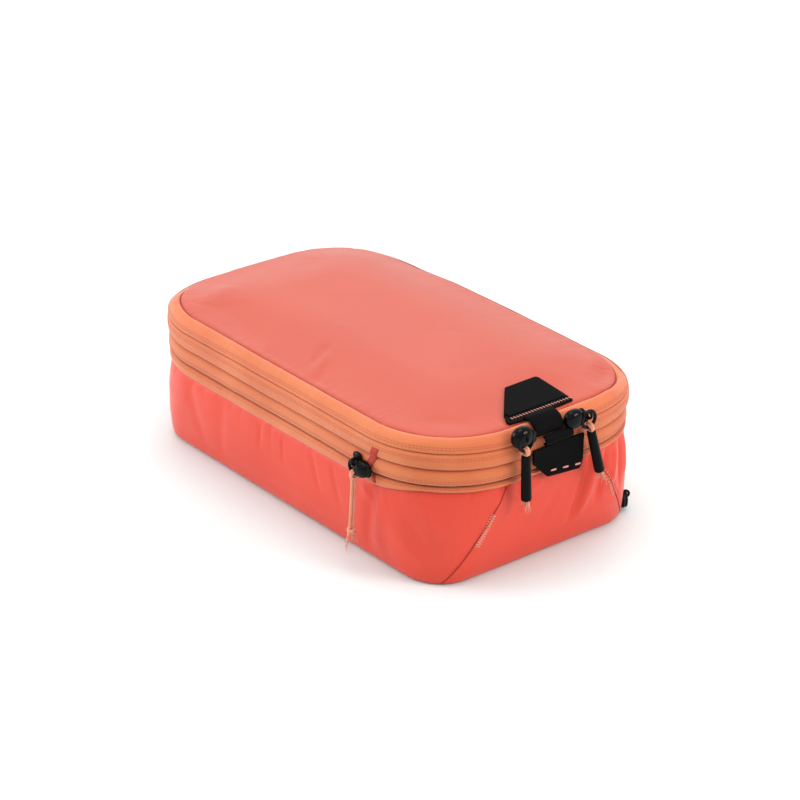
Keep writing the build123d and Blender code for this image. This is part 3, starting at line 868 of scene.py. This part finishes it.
def make_slider(name, along, out, plate, dome, dome_size, zip_z, back=0.0, eye_reach=5.6, skirt=False):
    """A glossy slider: a plate under a domed cap, a bridge to its eye, and the foot behind the tape.

    plate and dome are (along, up) places in mm from the slider's middle on the zip. back draws the eye in
    and eye_reach is how far it stands out, both in mm. skirt adds the low rim that some caps have."""
    middle = sum(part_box(f"{name}_slider"), Vector()) / 2
    hang = sum(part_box(f"{name}_ring"), Vector()) / 2 + up * ring_radius - out * back * MM
    face = hang - out * eye_reach * MM
    centre = Vector((middle.x, middle.y, zip_z))
    centre += out * (face - centre).dot(out)

    def pebble(a, u, o, size, power):
        """A pebble at a place along, up and out from the centre, with half sizes the same way, in mm."""
        axes = [way * half * MM for way, half in zip((along, up, out), size)]
        return blob(centre + (along * a + up * u + out * o) * MM, axes, power)

    eye = hang - centre
    eye_along, eye_up, eye_out = (eye.dot(way) / MM for way in (along, up, out))
    shapes = [
        pebble(*plate, 2.2, (6.0, 4.2, 1.4), 3.2),
        pebble(*dome, 2.6, dome_size, 2.3),
        pebble(0, 0, -2.4, (1.5, 0.16, 3.6), 4.0),
        pebble(0, 0, -6.2, (3.0, 2.9, 0.75), 4.0),
        torus(hang, up, out, 1.9 * MM, 0.75 * MM),
        pebble(eye_along, eye_up, eye_out / 2, (1.0, 1.5, eye_out * 0.36), 3.0),
    ]
    if skirt:
        shapes.append(pebble(eye_along - 1.0, eye_up - 3.5, 1.9, (4.2, 1.9, 2.2), 2.6))
        shapes.append(pebble(eye_along - 3.0, eye_up + 0.4, 0.9, (3.4, 2.6, 1.3), 2.6))
    node = f"{name}_slider"
    assign(joined(f"{name}_zip_slider", shapes, gloss), node, "slider_gloss", node)
    return hang


def make_ring(name, along, hang, down, radius):
    """The ring that swings in the slider's eye."""
    wire = hang - up * ring_radius + down * ring_radius
    side = (along - down * down.dot(along)).normalized()
    piece = joined(f"{name}_pull_ring", [torus(wire - down * radius, side, down, radius, ring_wire)], gloss)
    assign(piece, f"{name}_ring", "slider_gloss", f"{name}_ring")
    return wire


def make_cord(name, wire, out, down, held_to, tails):
    """The cord looped through the ring: one strand down, round the ring's wire and down again."""
    end = held_to + 3.5
    left_tail, right_tail = tails
    # Each point is (across, up) in mm from the ring's wire.
    route = [
        (-0.9 + left_tail, -end),
        (-0.9 + left_tail * 0.2, -end + 6),
        (-0.9, -end + 12),
        (-0.9, -3.9),
        (-1.9, -0.6),
        (-1.9, 1.9),
        (1.9, 1.9),
        (1.9, -0.6),
        (0.9, -3.9),
        (0.9, -end + 12),
        (0.9 + right_tail * 0.2, -end + 6),
        (0.9 + right_tail, -end),
    ]
    curve = bpy.data.curves.new(f"{name}_pull_cord", "CURVE")
    curve.dimensions = "3D"
    spline = curve.splines.new("NURBS")
    spline.points.add(len(route) - 1)
    for point, (across, rise) in zip(spline.points, route):
        point.co = (*(wire + out * across * MM - down * rise * MM), 1)
    spline.order_u = 3
    spline.use_endpoint_u = True
    curve.resolution_u = 12
    curve.bevel_depth = cord_radius
    curve.bevel_resolution = 4
    curve.use_fill_caps = True
    curve.materials.append(cord_braid)
    cord = bpy.data.objects.new(curve.name, curve)
    bpy.context.scene.collection.objects.link(cord)
    assign(cord, f"{name}_pull", "cord", f"{name}_cord")
    spots = [Vector(point.co[:3]) for point in spline.points]
    fray = make_fray(name, (spots[0], spots[-1]), (spots[0] - spots[1], spots[-1] - spots[-2]))
    return cord, fray


def make_fray(name, ends, ways):
    """Loose crinkled yarns at the cord's cut ends."""
    yarns, yarn_radius, tucked_in = 8, 0.16 * MM, 2.4 * MM
    random = np.random.default_rng(70 + len(name))
    shapes = []
    for end, way in zip(ends, ways):
        way = way.normalized()
        for _ in range(yarns):
            lean = np.array(way) + random.normal(0, 0.10, 3)
            line = [np.array(end - way * tucked_in) + random.normal(0, 0.5, 3) * MM]
            for _ in range(6):
                line.append(line[-1] + (lean + random.normal(0, 0.45, 3)) * random.uniform(0.6, 1.1) * MM)
            shapes.append(tube_shape(rounded(line, 14, 1), yarn_radius))
    piece = joined(f"{name}_fray", shapes, thread)
    assign(piece, f"{name}_pull", "thread")
    return piece


def make_hitch(name, wire, out, down):
    """The turns of cord that grip the ring."""
    along = down.cross(out).normalized()
    shapes = []
    for shift, lean in ((-0.95, 0.22), (0.95, -0.22)):
        across = (out * math.cos(lean) + along * math.sin(lean)).normalized()
        middle = wire + down * 0.9 * MM + along * shift * MM
        shapes.append(torus(middle, across, down, 2.0 * MM, 0.85 * MM))
    piece = joined(f"{name}_hitch", shapes, cord_braid)
    assign(piece, f"{name}_pull", "cord")
    return piece


def make_sleeve(name, wire, out, down, top, bottom):
    """The rubber tube over both strands, a little wider at its lower end, open through its middle."""
    outer, inner, sides = 2.9, 1.8, 28
    side = down.cross(out).normalized()
    # Each row is (radius, way down from the ring's wire), in mm, round the wall of the tube.
    profile = [
        (inner, top + 0.3), (inner + 0.1, top), (outer * 0.80, top), (outer * 0.86, top + 0.6),
        (outer * 0.90, top + 4), (outer * 0.96, (top + bottom) / 2), (outer * 1.02, bottom - 1.2),
        (outer * 0.98, bottom - 0.2), (outer * 0.85, bottom), (inner + 0.1, bottom), (inner, bottom - 0.3),
    ]
    vertices = []
    for radius, along in profile:
        for turn in np.arange(sides) * 2 * math.pi / sides:
            step = out * math.cos(turn) + side * math.sin(turn)
            vertices.append(wire + down * along * MM + step * radius * MM)
    piece = add_piece(f"{name}_sleeve", vertices, quads(len(profile), sides, looped=True), tube_rubber)
    assign(piece, f"{name}_pull", "tube_rubber", f"{name}_holder")
    return piece


def make_knot(name, wire, out, down, top, bottom):
    """An overhand knot: two crossed turns round both strands."""
    side = down.cross(out).normalized()
    middle = wire + down * (top + bottom) / 2 * MM
    shapes = []
    for lean, shift in ((0.45, -0.8), (-0.45, 0.8)):
        first = (out * math.cos(lean) + down * math.sin(lean)).normalized()
        shapes.append(torus(middle + down * shift * MM, first, side, 1.75 * MM, 0.8 * MM))
    shapes.append(blob(middle, (out * 1.9 * MM, side * 1.2 * MM, down * 1.6 * MM), 2.2))
    piece = joined(f"{name}_knot", shapes, cord_braid)
    assign(piece, f"{name}_pull", "cord", f"{name}_holder")
    return piece


def make_pull(name, hang, along, out, lean, radius, make_holder, held_from, held_length, tails):
    """A ring, the cord through it and what holds its strands, leaning along the zip by some degrees."""
    lean = math.radians(lean)
    down = along * math.sin(lean) - up * math.cos(lean)
    wire = make_ring(name, along, hang, down, radius)
    held_to = held_from + held_length
    cord, fray = make_cord(name, wire, out, down, held_to, tails)
    holder = make_holder(name, wire, out, down, held_from, held_to)
    hitch = make_hitch(name, wire, out, down)


make_camera()
left_hang = make_slider("left", north, east, (0, 3), (-4.6, 5.6), (6.8, 6.3, 4.4), main_zip_z)
right_hang = make_slider("right", north, east, (0.6, 3.6), (-3.6, 5.2), (6.4, 5.7, 3.8), main_zip_z,
                         skirt=True)
expansion_hang = make_slider("expansion", east, south, (-1, 2), (-2.6, 1.8), (6.0, 5.0, 4.0), expansion_zip_z,
                             skirt=True)
make_pull("left", left_hang, north, east, 3, shown_ring_radius, make_sleeve, 2.6, 28, (-0.6, 0.8))
make_pull("right", right_hang, north, east, 16.3, shown_ring_radius, make_sleeve, 2.4, 28.6, (-0.8, 1.4))
make_pull("expansion", expansion_hang, east, south, -3, 3.9 * MM, make_knot, 34, 4, (-0.8, 1.2))

rear_angle = math.radians(56)
rear_out = Vector((math.cos(rear_angle), math.sin(rear_angle), 0))
rear_along = Vector((-math.sin(rear_angle), math.cos(rear_angle), 0))
rear_hang = make_slider("rear", rear_along, rear_out, (0, 0), (0.5, 0), (4.8, 4.3, 2.6), rear_zip_z, 1.3, 4.2)
make_ring("rear", rear_along, rear_hang, -up, ring_radius)

make_studio()
walls = make_walls()
wall_tree = surface_tree(walls)
make_corner_seams(wall_tree)
make_flat_panel("tub_bottom", "bottom_panel", base_half_length - 2.5 * MM, base_half_width - 2.5 * MM,
                base_radius, 0.05 * MM, 0.7 * MM, coral, "coral_fabric", False)
make_flat_panel("inner_divider", "divider_panel", half_length - 12 * MM, half_width - 12 * MM,
                rim_radius - 20 * MM, divider_z, -1.2 * MM, lining, "lining", True)
lower_tape, upper_tape, main_low = make_bands()
tooth_rise, hinge_gap = 1.2 * MM, 25 * MM
make_teeth("expansion_teeth_low", expansion_zip_z - tooth_rise, expansion_sag, "expansion_lower_coil", "tub")
make_teeth("expansion_teeth_high", expansion_zip_z + tooth_rise, expansion_sag, "expansion_upper_coil",
           "zip_frame")
make_teeth("main_teeth_low", main_zip_z - tooth_rise, main_sag, "main_lower_coil", "zip_frame", hinge_gap)
make_teeth("main_teeth_high", main_zip_z + tooth_rise, main_sag, "main_upper_coil", "lid", hinge_gap)
make_top_panel()


# ======== Gusset, hinge, zip ends and rear zip ========
def make_gusset():
    """The fabric folded behind the expansion zip."""
    low, high = wall_top / MM, fold_z / MM
    pleats = [(3.6, low + 0.4), (7.2, low + 1.2)]
    pleats += [(9.2 + (0.9 if k % 2 else -0.5), low + 2.2 + k * (high - low - 4.2) / 12) for k in range(13)]
    pleats += [(7.2, high - 1.2), (3.6, high - 0.4)]
    points, normals = rim_rings(rounded(pleats, 64, 3))
    points += normals * (0.3 * MM * wobble(60, 90))[None, :, None]
    piece = grid_piece("expansion_folds", points, lining, 0.4 * MM)
    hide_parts("expansion_gusset")
    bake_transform(piece)


def make_hinge():
    """The strip that joins the lid to the zip frame at the far end."""
    low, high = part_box("lid_hinge_strip")
    above_zip = 2.4 * MM
    rows = []
    for z in np.linspace(low.z - 1 * MM, main_zip_z + above_zip, 26):
        lean = 2.2 * MM * (max(z - main_zip_z, 0) / above_zip) ** 2
        rows.append([(low.x + lean, y, z) for y in np.linspace(high.y, low.y, 50)])
    piece = grid_piece("lid_hinge_tape", np.array(rows), tape, cloth_thickness, closed=False)
    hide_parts("lid_hinge_strip")
    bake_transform(piece)


def make_zip_end(node, body, places, half_strip, trees):
    """The short stitched strip across the joint of the expansion zip's two ends.

    places are (x, z) on the long side, in mm, from its lower end to its upper end."""
    rows, threads, ways = [], [], []
    for x, z in rounded(places, 14, 1) * MM:
        line = []
        for across in np.linspace(-1, 1, 9) * half_strip * MM:
            hits = [lay(tree, (x + across, -half_width, z), (0, 1, 0), 0.4 * MM) for tree in trees]
            line.append(min(hits, key=lambda spot: spot[1]))
        rows.append(line)
    points = np.array(rows)
    # A line that passes between two tapes meets the back of the bag; the points beside it fill it in.
    for column in points[:, :, 1].T:
        open_gap = column > 0
        column[open_gap] = np.interp(np.flatnonzero(open_gap), np.flatnonzero(~open_gap), column[~open_gap])
    piece = grid_piece(f"{node}_strip", points, seam, 0.3 * MM, closed=False)
    assign(piece, body, "seam_fabric", node)
    for row in points[1:-1]:
        threads.append((row[1] + row[-2]) / 2 + np.array((0, -0.15 * MM, 0)))
        ways.append(row[-2] - row[1] + np.array((0, 0, 0.5 * MM)))
    sewn = beads(f"{node}_thread", threads, ways, 1.2 * half_strip * MM, 0.16 * MM, coral)
    assign(sewn, body, "coral_fabric")


def make_rear_zip():
    """The lower compartment's zip: two tapes on the back wall with a slit, a coil and stitch rows."""
    low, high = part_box("rear_zip_tape")
    end_gap, tooth_length, tooth_radius = 0.5 * MM, 1.8 * MM, 0.4 * MM
    teeth_shift = np.array((0, -0.4, 0.0)) * MM
    for half_name, sign in (("low", -1), ("high", 1)):
        rows = []
        for rise in np.linspace(0.4, 4.4, 9)[::sign] * MM * sign:
            z = rear_zip_z + rise
            reach_x, reach_y, radius = wall_outline(z / wall_top)
            proud = (0.55 if abs(rise) > 1 * MM else 0.2) * MM
            line = []
            for x in np.linspace(high.x - end_gap, low.x + end_gap, 200):
                over = max(abs(x) - (reach_x - radius), 0)
                drop = math.sqrt(max(radius ** 2 - over ** 2, 0))
                inward = (math.copysign(over, -x), -drop, 0) if over else (0, -1, 0)
                line.append(lay(wall_tree, (x, reach_y - radius + drop, z), inward, proud))
            rows.append(line)
        points = np.array(rows)
        tape_node, coil_node = (("rear_zip_tape",), ("rear_zip_coil",)) if half_name == "low" else ((), ())
        piece = grid_piece(f"rear_tape_{half_name}", points, tape, 0.35 * MM, closed=False)
        assign(piece, "tub", "zip_tape", *tape_node)
        middle = points[5] + (points[5] - points[4]) * 0.2
        stitch_row(f"rear_stitch_{half_name}", middle, "tub", closed=False)
        spots, ways = even_points(points[-1] if sign < 0 else points[0], tooth_pitch, False)
        across = np.cross(ways, (0, 0, 1.0))
        name = f"rear_teeth_{half_name}"
        teeth = beads(name, spots + teeth_shift, across, tooth_length, tooth_radius, tooth)
        assign(teeth, "tub", "zip_coil", *coil_node)


make_gusset()
make_hinge()
make_zip_end("zip_end_lower", "tub", ((88.4, 55.6), (88.0, 59.8)), 1.2, [surface_tree(lower_tape)])
make_zip_end("zip_end_upper", "zip_frame", ((84.6, 62.4), (86.6, 68.0), (89.8, 77.0)), 2.4,
             [surface_tree(upper_tape), surface_tree(main_low)])
make_rear_zip()


# ======== Tabs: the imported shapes, with soft edges, and their thread ========
def soften(shape, size, material):
    """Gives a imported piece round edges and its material."""
    weld(shape)
    bevel = shape.modifiers.new("soft_edges", "BEVEL")
    bevel.width = size
    bevel.segments = 3
    bevel.limit_method = "ANGLE"
    bevel.angle_limit = math.radians(40)
    shape.modifiers.new("weighted", "WEIGHTED_NORMAL")
    shape.data.materials.clear()
    shape.data.materials.append(material)


for node in ("upper_tab_patch", "upper_tab_base", "lower_tab_patch"):
    soften(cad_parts[node], 0.4 * MM, tab_rubber)


def make_roll(name, node, body, path, half_thickness, low_y, high_y):
    """A strap as wide as low_y to high_y that follows a path of (x, z), all in mm, with round edges."""
    sides = 48
    line = rounded(path, 40, 3)
    way = unit(np.gradient(line, axis=0))
    normal = np.column_stack([-way[:, 1], way[:, 0]])
    turn = np.arange(sides) * 2 * math.pi / sides
    across = np.sign(np.cos(turn)) * np.abs(np.cos(turn)) ** 0.35
    thick = np.sign(np.sin(turn)) * np.abs(np.sin(turn)) ** 0.6
    share = np.linspace(-1, 1, len(line))
    swell = np.sqrt(np.clip(1 - np.abs(share) ** 10, 0.02, 1))
    vertices = []
    for index, (x, z) in enumerate(line):
        offset = half_thickness * swell[index] * thick
        y = (low_y + high_y) / 2 + (high_y - low_y) / 2 * across * (0.97 + 0.03 * swell[index])
        vertices.append(np.column_stack([x + normal[index, 0] * offset, y, z + normal[index, 1] * offset]))
    last = (len(line) - 1) * sides
    faces = [*quads(len(line), sides), range(sides)[::-1], range(last, last + sides)]
    piece = add_piece(name, np.concatenate(vertices) * MM, faces, tab_rubber)
    assign(piece, body, "tab_rubber", node)


make_roll("neck_roll", "upper_tab_neck", "lid",
          ((130.6, 90.6), (134.6, 90.9), (138.2, 89.6), (140.6, 86.6), (141.6, 82.6)), 1.3, -17.0, 3.4)
make_roll("band_roll", "lower_tab_roll", "zip_frame",
          ((142.2, 82.2), (144.2, 81.9), (145.2, 80.0), (144.6, 78.2), (142.8, 77.7)), 1.15, -12.6, 7.6)


def make_tab_web():
    """The bend of the upper tab: it joins the sewn part to the part that lifts."""
    bend = (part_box("upper_tab_patch")[1].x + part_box("upper_tab_base")[0].x) / 2
    slope = math.tan(math.radians(5.5))
    middle_z, start_y, end_y = 91.22 * MM, -22.9 * MM, 19.3 * MM
    rows = []
    for x in np.linspace(-1.8, 1.8, 13) * MM:
        rows.append([(bend + x, y, middle_z - slope * x) for y in np.linspace(start_y, end_y, 30)])
    piece = grid_piece("upper_tab_bend", np.array(rows), tab_rubber, 0.25 * MM, closed=False)
    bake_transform(piece)


def make_tab_threads():
    """The zigzag row on the upper tab and the three dashes on the lower one."""
    low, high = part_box("upper_tab_stitches")
    slope = (high.z - low.z) / (high.x - low.x)
    row_inset, row_pitch = 0.9 * MM, 2.1 * MM
    spots = []
    for y in np.arange(low.y + 0.6 * MM, high.y, row_pitch):
        spots.append((low.x + row_inset, y, high.z - row_inset * slope + 0.02 * MM))
    row = beads("upper_tab_thread", spots, [(1.0, 0.75, -slope)] * len(spots), 1.9 * MM, 0.27 * MM, thread)
    assign(row, "lid", "thread", "upper_tab_stitches")
    low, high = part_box("lower_tab_stitches")
    dashes = []
    for share in (0.1, 0.5, 0.9):
        y = low.y + (high.y - low.y) * share
        z = high.z + (low.z - high.z) * share
        for lift in (-0.25, 0.25):
            dashes.append((high.x - 0.05 * MM, y, z + lift * MM))
    row = beads("lower_tab_thread", dashes, [(0, 1.0, -0.08)] * len(dashes), 4.4 * MM, 0.3 * MM, thread)
    assign(row, "lower_tab", "thread", "lower_tab_stitches")


make_tab_web()
make_tab_threads()
